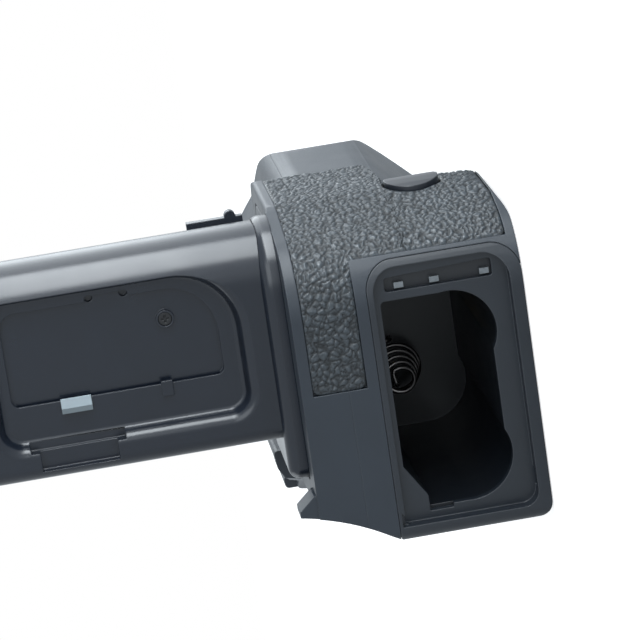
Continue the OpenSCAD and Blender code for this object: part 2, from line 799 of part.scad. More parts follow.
// Circuit board in the tower
module tower_board() {
  color("#1f5a3a")
    box([tower_split + 1.2, tower_y0 + 10, 0], [tower_split + 2.4, tower_y1 - 11, tower_h - 3]);
}

// Screws that join the tower's halves
module tower_screws() {
  color("#8d9095")
    for (p = tower_screw_yz) {
      x_rod(tower_x0 + 0.6, tower_x0 + 1.8, p[0], p[1], 1.6);
      x_rod(tower_x0 + 1.8, tower_split + 6, p[0], p[1], 0.8);
    }
}

// Sprung catch for the stored battery door
module door_catch() {
  a = tower_y0 + 11.95;
  color("#c4c7cb")
    z_prism(
      [[recess_x, a], [recess_x + 1.1, a], [recess_x + 1.1, a + 1], [recess_x + 0.3, a + 2.8], [recess_x, a + 2.4]],
      38.7, 44.6
    );
}

// Screw in the boss of the recess
module recess_screw() {
  color("#3a3c40")
    difference() {
      union() {
        x_rod(pocket_x + 0.2, pocket_x + 0.7, boss_y, boss_z, 1.3);
        x_rod(tower_in + 0.8, pocket_x + 0.2, boss_y, boss_z, 0.9);
      }
      box([pocket_x + 0.3, boss_y - 0.75, boss_z - 0.2], [pocket_x + 2, boss_y + 0.75, boss_z + 0.2]);
      box([pocket_x + 0.3, boss_y - 0.2, boss_z - 0.75], [pocket_x + 2, boss_y + 0.2, boss_z + 0.75]);
    }
}

// Threaded stud that screws into the camera
module camera_stud() {
  color("#b9bdc2")
    union() {
      z_rod(0, stud_h - 0.6, 0, 0, thread_r);
      z_rod(-plate_t - 1, 0.1, 0, 0, thread_r - 0.4);
      translate([0, 0, stud_h - 0.6]) cylinder(h = 0.6, r1 = thread_r, r2 = thread_r - 0.6);
      z_rod(gear_z1, -plate_t - 0.1, 0, 0, 5);
      z_rod(chassis_z1 + 0.1, gear_z1, 0, 0, 3);
      z_rod(chassis_z0 - 0.3, chassis_z1 + 0.2, 0, 0, 2);
    }
}

// Gear on the stud
module stud_gear() {
  color("#c8a860")
    difference() {
      z_prism(gear_outline(gear_n, gear_m, mesh_a + 180 / gear_n), gear_z0, gear_z1);
      z_rod(gear_z0 - 1, gear_z1 + 1, 0, 0, 3);
    }
}

// Ribbed wheel in the rear face that screws the grip to the camera
module attachment_wheel() {
  color("#3b3e43")
    difference() {
      translate([wheel_x, wheel_y, 0]) z_prism(ribbed(wheel_r, 40, 0.45), wheel_z0, wheel_z1);
      z_rod(wheel_z0 - 1, wheel_z1 + 1, wheel_x, wheel_y, 1.5);
    }
}

// Pinion on the attachment wheel's shaft
module wheel_pinion() {
  color("#d8d8d2")
    translate([wheel_x, wheel_y, 0])
      difference() {
        z_prism(gear_outline(pinion_n, gear_m, mesh_a + 180), gear_z0, gear_z1);
        z_rod(gear_z0 - 1, gear_z1 + 1, 0, 0, 1.5);
      }
}

// Shaft of the attachment wheel
module wheel_shaft() {
  color("#a9adb2")
    z_rod(wheel_z0, -1.4, wheel_x, wheel_y, 1.5);
}

// Plate that carries the attachment drive
module chassis_plate() {
  color("#9a9ea4")
    difference() {
      z_prism(
        outline([[-23, -17, 3], [8, -17, 3], [8, 6, 3], [-23, 9, 3]]),
        chassis_z0, chassis_z1
      );
      z_rod(chassis_z0 - 1, chassis_z1 + 1, 0, 0, 2 + run_gap);
      z_rod(chassis_z0 - 1, chassis_z1 + 1, wheel_x, wheel_y, 1.5 + run_gap);
    }
}

// Posts between the top plate and the drive's plate
module chassis_posts() {
  color("#b0b4b9")
    for (p = [[-19, -13], [-19, 5], [wheel_x + 10.2, wheel_y - 0.9]]) z_rod(chassis_z1, -plate_t, p[0], p[1], 1.9);
}

// Pin that keeps the grip from turning on the stud
module locating_pin() {
  color("#b9bdc2")
    union() {
      z_rod(0, pin_h - 0.5, pin_x, pin_y, pin_r);
      z_rod(-plate_t, 0.1, pin_x, pin_y, pin_r - 0.4);
      translate([pin_x, pin_y, pin_h - 0.5]) cylinder(h = 0.5, r1 = pin_r, r2 = pin_r - 0.5);
    }
}

// Thread for a tripod in the base
module tripod_socket() {
  color("#a2a6ab")
    difference() {
      z_rod(-body_h, floor_z + 4, 0, 0, socket_r);
      z_rod(-body_h - 1, socket_d - body_h, 0, 0, thread_r);
    }
}

// Shutter button that follows the grip's crest, with its flange and stem
module shutter_button() {
  color("#34373c")
    union() {
      intersection() {
        y_rod(flange_y1 - 0.5, grip_front + 2, shutter_x, -shutter_z, shutter_r);
        z_prism(outline(plan_low, -shutter_rise), -body_h, 0);
      }
      y_rod(flange_y1 - 0.8, flange_y1, shutter_x, -shutter_z, shutter_r + 0.7);
      y_rod(stem_y0, flange_y1, shutter_x, -shutter_z, 2);
    }
}

// Cup that guides the shutter button
module shutter_guide() {
  color("#3c3f44")
    difference() {
      intersection() {
        y_rod(guide_y0, guide_y1, shutter_x, -shutter_z, shutter_r + 1.9);
        z_prism(outline(plan_low, wall + 0.1), -body_h, 0);
      }
      y_rod(guide_y0 + 1.2, guide_y1 + 1, shutter_x, -shutter_z, shutter_r + 1.1);
      y_rod(guide_y0 - 1, guide_y1, shutter_x, -shutter_z, 2 + run_gap);
    }
}

// Switch under the shutter button
module shutter_switch() {
  color("#101113")
    union() {
      box([shutter_x - 3, board_y1, -shutter_z - 3], [shutter_x + 3, switch_y1 - 0.5, 3 - shutter_z]);
      y_rod(board_y1 + 1, switch_y1, shutter_x, -shutter_z, 1.5);
    }
}

// Circuit board of the shutter button
module control_board() {
  color("#1f5a3a")
    box([shutter_x - 7.4, board_y1 - board_t, floor_z], [shutter_x + 9, board_y1, 10.2 - shutter_z]);
}

// Ribbed dial under the thumb
module rear_dial() {
  color("#33363b")
    difference() {
      translate([0, dial_y, dial_z]) x_prism(ribbed(dial_r, 24, 0.4), dial_x - dial_w / 2, dial_x + dial_w / 2);
      x_rod(dial_x - dial_w, dial_x + dial_w, dial_y, dial_z, axle_r + run_gap);
    }
}

// Axle of the rear dial
module dial_axle() {
  color("#b0b4b9")
    x_rod(dial_x - dial_outer, dial_x + dial_outer, dial_y, dial_z, axle_r);
}

// Bracket under the tower's deck that carries the dial and the focus switch
module thumb_bracket() {
  pivot = [dial_y, dial_z];
  hang = [bar_y, -deck - 2];
  across = 1.6 * unit([hang[1] - pivot[1], pivot[0] - hang[0]]);
  arm = [hang - across, pivot - across, pivot + across, hang + across];
  leg = [[bar_y - 1.85, -deck - 3.4], [bar_y + 1.85, -deck - 3.4], [bar_y + 1.85, -deck], [bar_y - 1.85, -deck]];
  color("#4a4d52")
    difference() {
      union() {
        box([focus_x - 4, bar_y - 1.85, -deck - 1.4], [dial_x + dial_outer, bar_y + 1.85, -deck]);
        for (x = [dial_x - dial_outer, dial_x + dial_w / 2 + 0.5]) {
          x_prism(arm, x, x + 1.2);
          x_prism(leg, x, x + 1.2);
          x_rod(x, x + 1.2, dial_y, dial_z, axle_r + 0.8);
        }
        intersection() {
          on_thumb() box([-7, -4.5, shelf_z - 1.4], [6, 15, shelf_z]);
          box([0, -30, chamber_roof + 1.4], [body_end, 30, -deck]);
        }
      }
      x_rod(0, body_end, dial_y, dial_z, axle_r);
    }
}

// Focus button under the thumb
module focus_button() {
  color("#34373c")
    on_thumb() union() {
      translate([0, 0, -3.6]) cylinder(h = 4.1, r = focus_r);
      translate([0, 0, 0.5]) cylinder(h = 0.3, r1 = focus_r, r2 = focus_r - 0.3);
      translate([0, 0, -4.2]) cylinder(h = 0.7, r = focus_r + 0.8);
      translate([0, 0, -4.8]) cylinder(h = 0.7, r = 1.4);
    }
}

// Switch under the focus button
module focus_switch() {
  top = -4.8 - focus_travel - 0.1;
  color("#101113")
    on_thumb() union() {
      box([-2.6, -2.6, shelf_z], [2.6, 2.6, top - 0.4]);
      translate([0, 0, shelf_z]) cylinder(h = top - shelf_z, r = 1.2);
    }
}

// Lever that locks the thumb controls
module lock_lever() {
  y = -body_rear - 0.2;
  color("#3b3e43")
    union() {
      y_rod(y - 1, y, lever_x, lever_z, lever_r);
      box([lever_x - 0.7, y - 1.6, lever_z - lever_r + 0.4], [lever_x + 0.7, y - 0.5, lever_z + lever_r - 0.4]);
      y_rod(y - 0.5, wall - body_rear + 0.8, lever_x, lever_z, 1.2);
      y_rod(wall - body_rear + 0.2, wall - body_rear + 0.8, lever_x, lever_z, 2.2);
    }
}

// Main circuit board
module main_board() {
  z = floor_z + 3.6;
  color("#1f5a3a")
    union() {
      box([8.6 - body_left, -15, z], [-14, 18, z + 1.6]);
      box([-40, -6, z + 1.5], [-28, 6, z + 3]);
      box([-24, -12, z + 1.5], [-18, 4, z + 5]);
    }
}

// Conical spring at the end of the battery chamber
module contact_spring() {
  color("#c9ccd0")
    skin([for (k = [0 : wire_n - 1]) wire_ring(k)]);
}

// Flat terminal beside the spring
module chamber_contact() {
  color("#c4c7cb")
    box([chamber_x, 10, 16.5 - body_h], [chamber_x + 0.5, 18, 23.5 - body_h]);
}

// Metal strip with tabs behind the slot of the bezel
module latch_bar() {
  color("#8d9095")
    union() {
      box([web_x0 - 1.4, bezel_front - 6.5, 5.1 - body_h], [web_x0, bezel_front - 2.4, 26.3 - body_h]);
      for (z = [6.7, 16.3, 23.1])
        box([web_x0 - 0.5, bezel_front - 5.9, z - body_h - 0.9], [web_x0 + 1, bezel_front - 4.8, z - body_h + 0.9]);
    }
}

// Screws that join the casing halves
module shell_screws() {
  color("#8d9095")
    for (p = screw_xy) {
      z_rod(screw_head_z - 1.4, screw_head_z, p[0], p[1], 2);
      z_rod(screw_head_z, -5.2, p[0], p[1], 1);
    }
}

upper_shell();
lower_shell();
top_plate();
end_bezel();
chamber_liner();
grip_leather();
tower_shell();
tower_back();
tower_collar();
tower_cap();
tower_contacts();
tower_board();
tower_screws();
door_catch();
recess_screw();
camera_stud();
stud_gear();
attachment_wheel();
wheel_pinion();
wheel_shaft();
chassis_plate();
chassis_posts();
locating_pin();
tripod_socket();
shutter_button();
shutter_guide();
shutter_switch();
control_board();
rear_dial();
dial_axle();
thumb_bracket();
focus_button();
focus_switch();
lock_lever();
main_board();
contact_spring();
chamber_contact();
latch_bar();
shell_screws();
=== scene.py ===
"""Looks of a camera battery grip, dressed over its CAD frame. The scene is in metres."""

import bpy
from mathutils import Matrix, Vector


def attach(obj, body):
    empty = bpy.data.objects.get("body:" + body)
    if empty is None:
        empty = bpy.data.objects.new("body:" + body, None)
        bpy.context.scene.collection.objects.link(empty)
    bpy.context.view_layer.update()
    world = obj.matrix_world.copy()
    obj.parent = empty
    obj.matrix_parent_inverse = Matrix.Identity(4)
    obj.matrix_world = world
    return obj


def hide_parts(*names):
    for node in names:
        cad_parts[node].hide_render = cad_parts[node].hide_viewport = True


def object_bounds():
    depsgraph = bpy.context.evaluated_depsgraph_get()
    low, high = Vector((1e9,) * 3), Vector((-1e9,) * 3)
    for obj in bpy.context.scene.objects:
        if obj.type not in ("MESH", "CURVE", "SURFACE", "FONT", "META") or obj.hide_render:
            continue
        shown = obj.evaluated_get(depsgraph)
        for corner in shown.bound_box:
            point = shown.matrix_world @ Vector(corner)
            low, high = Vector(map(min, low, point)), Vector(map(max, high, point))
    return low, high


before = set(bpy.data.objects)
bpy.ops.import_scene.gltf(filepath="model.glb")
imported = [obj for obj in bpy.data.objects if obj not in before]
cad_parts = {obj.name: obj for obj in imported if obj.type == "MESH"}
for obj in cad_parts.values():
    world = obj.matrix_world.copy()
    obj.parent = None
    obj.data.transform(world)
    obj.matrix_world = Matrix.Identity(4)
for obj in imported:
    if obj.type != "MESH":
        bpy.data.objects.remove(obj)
cad_box = [list(corner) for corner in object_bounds()]

import bmesh
import bpy
import numpy as np
from mathutils import Matrix, Vector

MM = 0.001

# The photograph's camera: where it looks, from which side, its roll in radians, its distance in
# metres and its lens
VIEW_TARGET = np.array([70.0, 23.08, -5.5]) * MM
VIEW_SIDE_Y, VIEW_SIDE_Z = 0.25, 0.08
VIEW_ROLL = -0.167
VIEW_DISTANCE, VIEW_CLIP = 0.7, 0.01
SENSOR_MM, LENS_MM = 36.0, 210.66

# The hand grip's plan and its front's profile in mm, as in the source
GRIP_LEFT, GRIP_LEFT_LOW, NOSE_X = 15.0, 29.5, 45.1
GRIP_FRONT, BODY_END, BODY_H, STEP_Z, LEAN = 40.5, 70.0, 44.5, -24.0, 1.0
LEFT_R, LEFT_LOW_R, NOSE_R, NOSE_DROP = 6.5, 12.0, 20.0, 6.5
CORNER_R, FOOT_R, STEP_R = 14.0, 5.0, 2.4
BUTTON_X, BUTTON_Z, BUTTON_HOLE = 42.0, -29.2, 5.85
LATCH_FACE = 65.45

# The covering's outline in mm, as in the source
COVER_LOW, BAND, STRIP_LOW, STRIP_REAR = 42.7, 2.2, 12.5, 8.5
COVER_LEFT_Y, COVER_END_Y, COVER_T = 35.4, 32.6, 1.2
COVER_CORNER_R, STRIP_CORNER_R, STRIP_INNER_R = 1.2, 1.6, 5.0

# The covering's lattice in mm: its step, the span left of the crest, the plan line kept beyond its
# end, a limit well past its left edge, and the finer rows in the step under the bulge
COVER_STEP, COVER_LEFT_SPAN, PLAN_SPARE, PAST_LEFT = 0.2, 30.0, 2.0, -60.0
STEP_ROWS, STEP_FROM = 40, 0.2
RIM_PASSES, RIM_LEAST_SLOPE = 4, 0.3
PROBE = 0.02

# The covering's relief in mm: pebbles of two sizes on a warped grid, slow waves and a sunk rim
LARGE_PEBBLE, SMALL_PEBBLE, PEBBLE_FLANK = 1.25, 0.68, 0.5
LARGE_SHARE, SMALL_SHARE = 0.62, 0.38
LARGE_SEED, SMALL_SEED = 7, 11
WARP, WARP_SIZE, WARP_SEEDS = 0.3, 2.2, (3, 4, 6)
WAVE, WAVE_SIZE, WAVE_SEED = 0.05, 9.0, 5
RELIEF, RELIEF_FADE = 0.46, 0.8
RIM_DROP, RIM_FADE = 0.3, 0.7
COVER_ROOT = 0.1

# The chamber's conical spring in mm and degrees, as in the source, and how finely its wire is drawn
SPRING_AT = np.array([9.0, -4.2, -24.0])
SPRING_R0, SPRING_R1, SPRING_L, SPRING_TURNS, WIRE_R = 5.4, 2.5, 14.0, 5, 0.45
SPRING_BEND, SPRING_TIP_BEND, SPRING_TIP_START, SPRING_BEND_TO = 1.2, 0.9, 0.35, 78.0
BEND_POINTS, TURN_POINTS, WIRE_SIDES = 10, 40, 14

# How CAD nodes are refined, in mm and degrees
MERGE, FLAT_ANGLE, SHARP_ANGLE = 0.002, 0.5, 32.0
EDGE_WIDTH, FINE_EDGE_WIDTH, EDGE_SEGMENTS = 0.2, 0.12, 2

# Shading: the plastics' reflection level, the radii of shaded edges in mm and their rays
PLASTIC_SPECULAR = 0.5
PLASTIC_EDGE, METAL_EDGE, EDGE_SAMPLES = 0.3, 0.15, 6

# Input and output sockets of a Mix node that mixes colours
MIX_SHARE, MIX_FIRST, MIX_SECOND, MIX_RESULT = 0, 6, 7, 2
BLACK, WHITE = (0.0, 0.0, 0.0), (1.0, 1.0, 1.0)

# The studio in metres: half the floor's side, its gap under the part and the white that it adds
FLOOR_HALF, FLOOR_GAP, FLOOR_WHITE = 1.0, 0.0002, 0.64


class Value:
    """A shader socket that takes part in Python arithmetic: each operator adds one Math node."""

    def __init__(self, tree, socket):
        self.tree, self.socket = tree, socket

    def math(self, operation, first, second):
        made = self.tree.nodes.new("ShaderNodeMath")
        made.operation = operation
        for place, item in zip(made.inputs, (first, second)):
            feed(self.tree, place, item)
        return Value(self.tree, made.outputs[0])

    def __add__(self, other):
        return self.math("ADD", self, other)

    def __sub__(self, other):
        return self.math("SUBTRACT", self, other)

    def __rsub__(self, other):
        return self.math("SUBTRACT", other, self)

    def __mul__(self, other):
        return self.math("MULTIPLY", self, other)

    def __pow__(self, other):
        return self.math("POWER", self, other)

    __radd__ = __add__
    __rmul__ = __mul__

    def between(self, low, high):
        """The value held between two limits."""
        return self.math("MINIMUM", self.math("MAXIMUM", self, low), high)


def feed(tree, place, item):
    """Links a Value to a socket, or sets the socket's own number or colour."""
    if isinstance(item, Value):
        tree.links.new(item.socket, place)
    elif hasattr(place.default_value, "__len__") and len(place.default_value) == len(item) + 1:
        place.default_value = (*item, 1.0)
    else:
        place.default_value = item


def swing(amount, pattern):
    """A pattern's swing about its middle."""
    return amount * (pattern - 0.5)


def shade(colour, factor):
    """A lighter or darker colour."""
    return tuple(factor * channel for channel in colour)


class Finish:
    """One procedural material: its tree, its shader and one method that adds any node."""

    def __init__(self, name, **constants):
        self.material = bpy.data.materials.new(name)
        self.material.use_nodes = True
        self.tree = self.material.node_tree
        self.shader = next(n for n in self.tree.nodes if n.type == "BSDF_PRINCIPLED")
        for socket, number in constants.items():
            self.set(socket.replace("_", " "), number)
        self.place = self.node("ShaderNodeTexCoord", out="Object")

    def node(self, kind, settings=(), sockets=(), out=0):
        made = self.tree.nodes.new(kind)
        for key, setting in dict(settings).items():
            setattr(made, key, setting)
        for key, item in dict(sockets).items():
            feed(self.tree, made.inputs[key], item)
        return Value(self.tree, made.outputs[out])

    def set(self, socket, item):
        feed(self.tree, self.shader.inputs[socket], item)

    def noise(self, scale, detail=3.0, roughness=0.6, at=None):
        return self.node("ShaderNodeTexNoise", {}, {"Vector": at or self.place, "Scale": scale,
                                                   "Detail": detail, "Roughness": roughness})

    def mix(self, share, first, second):
        sockets = {MIX_SHARE: share, MIX_FIRST: first, MIX_SECOND: second}
        return self.node("ShaderNodeMix", {"data_type": "RGBA"}, sockets, out=MIX_RESULT)

    def stretched(self, scale):
        return self.node("ShaderNodeMapping", {}, {"Vector": self.place, "Scale": scale})

    def rounded(self, radius):
        """Normal that is rounded near edges."""
        return self.node("ShaderNodeBevel", {"samples": EDGE_SAMPLES}, {"Radius": radius * MM})

    def edge(self, rounded):
        """How far a rounded normal leaves the true one."""
        true = self.node("ShaderNodeNewGeometry", out="Normal")
        same = self.node("ShaderNodeVectorMath", {"operation": "DOT_PRODUCT"},
                         {0: rounded, 1: true}, out="Value")
        return (1.0 - same).between(0.0, 1.0)

    def bump(self, height, strength, distance, normal=None):
        """Normal that follows a height; the distance is in mm."""
        sockets = {"Height": height, "Strength": strength, "Distance": distance * MM}
        if normal:
            sockets["Normal"] = normal
        return self.node("ShaderNodeBump", {}, sockets)


def moulded(name, colour, wear_and_highlight_colour, roughness, grain, relief):
    """Moulding: fine spark grain, slow mottling, and edges lightened to a paler colour that is
    partly rubbed wear and partly a painted highlight.
    """
    f = Finish(name, Specular_IOR_Level=PLASTIC_SPECULAR)
    rounded = f.rounded(PLASTIC_EDGE)
    mottle = f.noise(scale=90.0)
    spark = f.noise(scale=grain, roughness=0.65)
    # Edge mask from the rounded normal: it lightens every edge alike, partly as rubbed wear and
    # partly as a painted highlight.
    wear_and_edge_highlight = (f.edge(rounded) * 2.2 * (mottle + 0.25)).between(0.0, 0.8)
    rough = roughness + swing(0.12, mottle) + swing(0.45 * relief, spark)
    # Base colour: mottled tone, with the paler edges mixed in as wear and painted highlight.
    f.set("Base Color", f.mix(wear_and_edge_highlight, f.mix(mottle, colour, shade(colour, 1.35)), wear_and_highlight_colour))
    f.set("Roughness", rough.between(0.12, 0.95))
    f.set("Normal", f.bump(spark, strength=relief, distance=0.05, normal=rounded))
    return f.material


def pebbled_cover():
    """Grip covering: creases dull and darkened with painted shade, pebbles rubbed smoother on top,
    with a fine skin grain.
    """
    # The near-black crease colour is painted shade in the hollows between the pebbles.
    crease_painted_shade, pebble = (0.003, 0.004, 0.005), (0.046, 0.057, 0.068)
    f = Finish("pebbled_cover", Specular_IOR_Level=PLASTIC_SPECULAR)
    rise = f.node("ShaderNodeAttribute", {"attribute_name": "rise"}, out="Fac")
    mottle = f.noise(scale=70.0)
    skin = f.noise(scale=5200.0)
    top = (rise ** 1.7 * (0.7 + 0.6 * mottle)).between(0.0, 1.0)
    # Darker where the relief is low: painted shade in the creases, the pebbles' own colour on their
    # tops.
    f.set("Base Color", f.mix(top, crease_painted_shade, pebble))
    f.set("Roughness", (0.62 - 0.33 * top + swing(0.12, skin)).between(0.2, 0.95))
    f.set("Normal", f.bump(skin, strength=0.22, distance=0.04))
    return f.material


def bright_metal(name, colour, roughness, along):
    """Plated metal with drawn scratches along one axis and slow tarnish."""
    f = Finish(name, Metallic=1.0)
    rounded = f.rounded(METAL_EDGE)
    drawn = f.noise(scale=1.0, at=f.stretched(along))
    tarnish = f.noise(scale=160.0, detail=4.0)
    rough = roughness + swing(0.22, drawn) + swing(0.12, tarnish)
    f.set("Base Color", f.mix(tarnish, colour, shade(colour, 0.72)))
    f.set("Roughness", rough.between(0.08, 0.8))
    f.set("Normal", f.bump(drawn, strength=0.12, distance=0.03, normal=rounded))
    return f.material


def latch_strip():
    """Blackened strip whose raised tabs are rubbed bright: they stand proud of the strip's face."""
    strip, dull, bright = (0.012, 0.014, 0.018), (0.13, 0.145, 0.155), (0.26, 0.28, 0.3)
    steepness = 20000.0
    f = Finish("latch_strip")
    depth = f.node("ShaderNodeSeparateXYZ", {}, {"Vector": f.place}, out="X")
    tab = ((depth - LATCH_FACE * MM) * steepness).between(0.0, 1.0)
    wear = f.noise(scale=900.0)
    f.set("Base Color", f.mix(tab, strip, f.mix(wear, dull, bright)))
    f.set("Metallic", tab * 0.8)
    f.set("Roughness", 0.42 + swing(0.2, wear))
    f.set("Normal", f.bump(wear, strength=0.1, distance=0.03))
    return f.material


def circuit_board():
    """Green resist over copper tracks."""
    resist, covered = (0.01, 0.07, 0.03), (0.03, 0.13, 0.06)
    f = Finish("circuit_board", Specular_IOR_Level=PLASTIC_SPECULAR)
    weave = f.noise(scale=900.0, detail=2.0, roughness=0.5)
    track = f.node("ShaderNodeTexBrick", {},
                   {"Vector": f.place, "Scale": 240.0, "Mortar Size": 0.03}, out="Fac")
    f.set("Base Color", f.mix(track, resist, covered))
    f.set("Roughness", 0.32 + 0.2 * weave)
    f.set("Normal", f.bump(track, strength=0.2, distance=0.03))
    return f.material


def mesh_piece(name, points, faces, body, material, node, slot):
    """Puts points in mm and faces into a new piece that rides on a body and shows a CAD node."""
    mesh = bpy.data.meshes.new(name)
    mesh.from_pydata((points * MM).tolist(), [], [f.tolist() for f in faces])
    mesh.polygons.foreach_set("use_smooth", np.ones(len(mesh.polygons), bool))
    mesh.materials.append(material)
    mesh.update()
    piece = bpy.data.objects.new(name, mesh)
    bpy.context.scene.collection.objects.link(piece)
    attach(piece, body)
    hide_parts(node)
    return piece


def lattice_faces(rows, columns):
    """Quads of a rows by columns lattice of points, in step order."""
    first = np.arange(rows - 1)[:, None] * columns + np.arange(columns - 1)[None, :]
    quads = np.stack([first, first + 1, first + columns + 1, first + columns], -1)
    return quads.reshape(-1, 4)


def tube(path, radius, sides):
    """Round profile carried along a path: its rings stand square to it and twist little."""
    along = np.gradient(path, axis=0)
    along /= np.linalg.norm(along, axis=1, keepdims=True)
    start = np.cross(along[0], [0.0, 0.0, 1.0] if abs(along[0][2]) < 0.9 else [0.0, 1.0, 0.0])
    out = [start / np.linalg.norm(start)]
    for direction in along[1:]:
        side = out[-1] - direction * (out[-1] @ direction)
        out.append(side / np.linalg.norm(side))
    out = np.array(out)
    across = np.cross(along, out)
    turn = 2 * np.pi * np.arange(sides)[:, None] / sides
    ring = out[:, None] * np.cos(turn) + across[:, None] * np.sin(turn)
    points = path[:, None] + radius * ring
    count = len(path)
    k, j = np.meshgrid(np.arange(count - 1), np.arange(sides), indexing="ij")
    here, beside = k * sides + j, k * sides + (j + 1) % sides
    walls = np.stack([here, beside, beside + sides, here + sides], -1).reshape(-1, 4)
    caps = [np.arange(sides)[::-1], (count - 1) * sides + np.arange(sides)]
    return points.reshape(-1, 3), [*walls, *caps]


def spring_path():
    """Wire line of the conical spring: a stub out of the wall, a bend, shrinking curls, then a
    turn across the tip."""
    stub = 2 * WIRE_R
    curl_l = SPRING_L - stub - SPRING_BEND
    bend = np.linspace(0, np.radians(SPRING_BEND_TO), BEND_POINTS)[1:]
    bend_x = stub + SPRING_BEND * np.sin(bend)
    bend_turn = SPRING_BEND * (1 - np.cos(bend)) / SPRING_R0
    share = np.linspace(0, 1, TURN_POINTS * SPRING_TURNS + 1)[1:]
    curl_r = SPRING_R0 + (SPRING_R1 - SPRING_R0) * share
    x = np.concatenate([[0.0, stub], bend_x, bend_x[-1] + curl_l * share])
    r = np.concatenate([np.full(2 + len(bend), SPRING_R0), curl_r])
    turn = np.concatenate([[0.0, 0.0], bend_turn, bend_turn[-1] + 2 * np.pi * SPRING_TURNS * share])
    curls = np.stack([x, r * np.cos(turn), r * np.sin(turn)], 1)
    a = np.linspace(0, np.pi / 2, BEND_POINTS)[1:]
    u = np.concatenate([SPRING_R1 - SPRING_TIP_BEND * (1 - np.cos(a)), [0.0, -2 * WIRE_R]])
    v = SPRING_TIP_START + SPRING_TIP_BEND * np.concatenate([np.sin(a), [1.0, 1.0]])
    c, s = np.cos(turn[-1]), np.sin(turn[-1])
    tip = np.stack([np.full(len(u), x[-1]), u * c - v * s, u * s + v * c], 1)
    return SPRING_AT + np.concatenate([curls, tip])


def ease(x):
    """Smooth step from 0 to 1."""
    x = np.clip(x, 0, 1)
    return x * x * (3 - 2 * x)


def dome(x):
    """Steep rise from 0 that rounds off to 1, as the flank of a pebble does."""
    return np.sqrt(np.clip(1 - (1 - np.clip(x, 0, 1)) ** 2, 0, 1))


def round_join(a, b, radius):
    """Union of two signed distances with a rounded inner corner."""
    blend = np.clip(0.5 + 0.5 * (b - a) / radius, 0, 1)
    return b * (1 - blend) + a * blend - radius * blend * (1 - blend)


def round_box(u, v, low, high, radius):
    """Signed distance to a rectangle with rounded corners."""
    low, high = np.array(low), np.array(high)
    centre, half = (low + high) / 2, (high - low) / 2 - radius
    du, dv = np.abs(u - centre[0]) - half[0], np.abs(v - centre[1]) - half[1]
    outside = np.hypot(np.maximum(du, 0), np.maximum(dv, 0))
    return outside + np.minimum(np.maximum(du, dv), 0) - radius


def rounded_corner(before, corner, after, radius, count=24):
    """Arc that rounds a corner and ends on both of its sides."""
    back, on = before - corner, after - corner
    back, on = back / np.linalg.norm(back), on / np.linalg.norm(on)
    half = np.arccos(back @ on) / 2
    centre = corner + (back + on) / np.linalg.norm(back + on) * radius / np.sin(half)
    first, last = (corner + side * radius / np.tan(half) - centre for side in (back, on))
    turn, share = np.pi - 2 * half, np.linspace(0, 1, count)[:, None]
    arc = np.sin((1 - share) * turn) * first + np.sin(share * turn) * last
    return centre + arc / np.sin(turn)


def plan_line():
    """The grip's plan from its crest, and the distance along it: round the nose, down the slanted
    front, round the corner and along the end."""
    nose = np.array([NOSE_X, GRIP_FRONT])
    corner = np.array([BODY_END, GRIP_FRONT - NOSE_DROP])
    end = np.array([BODY_END, STRIP_REAR - PLAN_SPARE])
    leftwards = np.array([-1.0, 0.0])
    line = np.concatenate([rounded_corner(nose + leftwards, nose, corner, NOSE_R),
                           rounded_corner(nose, corner, end, CORNER_R), [end]])
    lengths = np.linalg.norm(np.diff(line, axis=0), axis=1)
    return line, np.concatenate([[0.0], np.cumsum(lengths)])


def front_line():
    """The front's profile from the base up: rounded out of the base, leaning back below the step
    and upright above it."""
    top, foot = np.array([GRIP_FRONT, STEP_Z]), np.array([GRIP_FRONT - LEAN, -BODY_H])
    rearwards = np.array([-1.0, 0.0])
    round_in = rounded_corner(top, foot, foot + rearwards, FOOT_R, count=40)
    return np.concatenate([[[GRIP_FRONT, 0.0], top], round_in])[::-1]


FRONT = front_line()
PLAN, PLAN_S = plan_line()
COVER_END = PLAN_S[-1] - PLAN_SPARE
COVER_BESIDE = np.interp(-COVER_END_Y, -PLAN[:, 1], PLAN_S)


def left_round(z):
    """Where the front's left rounding starts, and its radius: both step in below the bulge along
    a quarter circle."""
    share = 1 - np.sqrt(1 - np.clip((STEP_Z + STEP_R - z) / STEP_R, 0, 1) ** 2)
    start = GRIP_LEFT + LEFT_R + share * (GRIP_LEFT_LOW + LEFT_LOW_R - GRIP_LEFT - LEFT_R)
    return start, LEFT_R + share * (LEFT_LOW_R - LEFT_R)


def cover_left(z):
    """Plan distance of the covering's left edge, which lies at one depth on the left rounding."""
    start, radius = left_round(z)
    return start - PLAN[0, 0] - radius * np.arccos(1 - (GRIP_FRONT - COVER_LEFT_Y) / radius)


def bulge_point(s, z):
    """Point of the bare grip at plan distance s from the crest and at height z."""
    start, radius = left_round(z)
    turn = np.clip((start - PLAN[0, 0] - s) / radius, 0, np.pi / 2)
    plan_x = np.interp(s, PLAN_S, PLAN[:, 0]) + np.minimum(s, 0)
    plan_y = np.interp(s, PLAN_S, PLAN[:, 1])
    x = np.where(turn > 0, start - radius * np.sin(turn), plan_x)
    y = np.where(turn > 0, GRIP_FRONT - radius * (1 - np.cos(turn)), plan_y)
    front = np.interp(z, FRONT[:, 1], FRONT[:, 0])
    return np.stack([x, np.minimum(y, front), z], -1)


def bulge_normal(s, z):
    """Unit normal of the bare grip, from the points close by."""
    up = bulge_point(s, z + PROBE) - bulge_point(s, z - PROBE)
    along = bulge_point(s + PROBE, z) - bulge_point(s - PROBE, z)
    normal = np.cross(up, along)
    return normal / np.maximum(np.linalg.norm(normal, axis=-1, keepdims=True), 1e-9)


